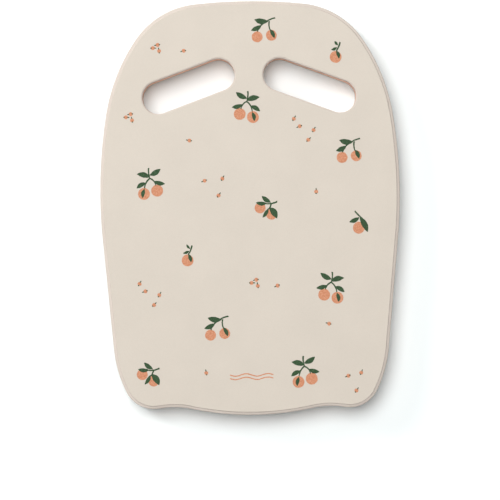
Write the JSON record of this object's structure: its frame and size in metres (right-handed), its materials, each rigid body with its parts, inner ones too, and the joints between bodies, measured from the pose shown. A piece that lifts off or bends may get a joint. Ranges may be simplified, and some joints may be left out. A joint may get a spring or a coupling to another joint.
{
  "type": "kickboard float",
  "caption": "Flat foam kickboard with a domed crown, tapering flanks, a wavy foot and slanted hand slots, laminated from cream and peach foam with a fruit print.",
  "frame": {"origin": "middle of the underside, halfway along the length and width", "axes": "+X to the board's right seen from the printed side, +Y towards the hand slots and the domed crown, +Z out of the printed face"},
  "size_m": [0.304, 0.42, 0.0301],
  "materials": {
    "cream_foam": "matte closed-cell EVA foam",
    "peach_foam": "matte closed-cell EVA foam",
    "glue": "clear hot-melt film",
    "peach_ink": "matte ink",
    "green_ink": "matte ink"
  },
  "bodies": {
    "root": {"top_ply": "cream_foam", "upper_glue_film": "glue", "core_ply": "peach_foam", "lower_glue_film": "glue", "bottom_ply": "cream_foam", "fruit_print": "peach_ink", "leaf_print": "green_ink", "wave_mark_print": "peach_ink"}
  },
  "joints": []
}
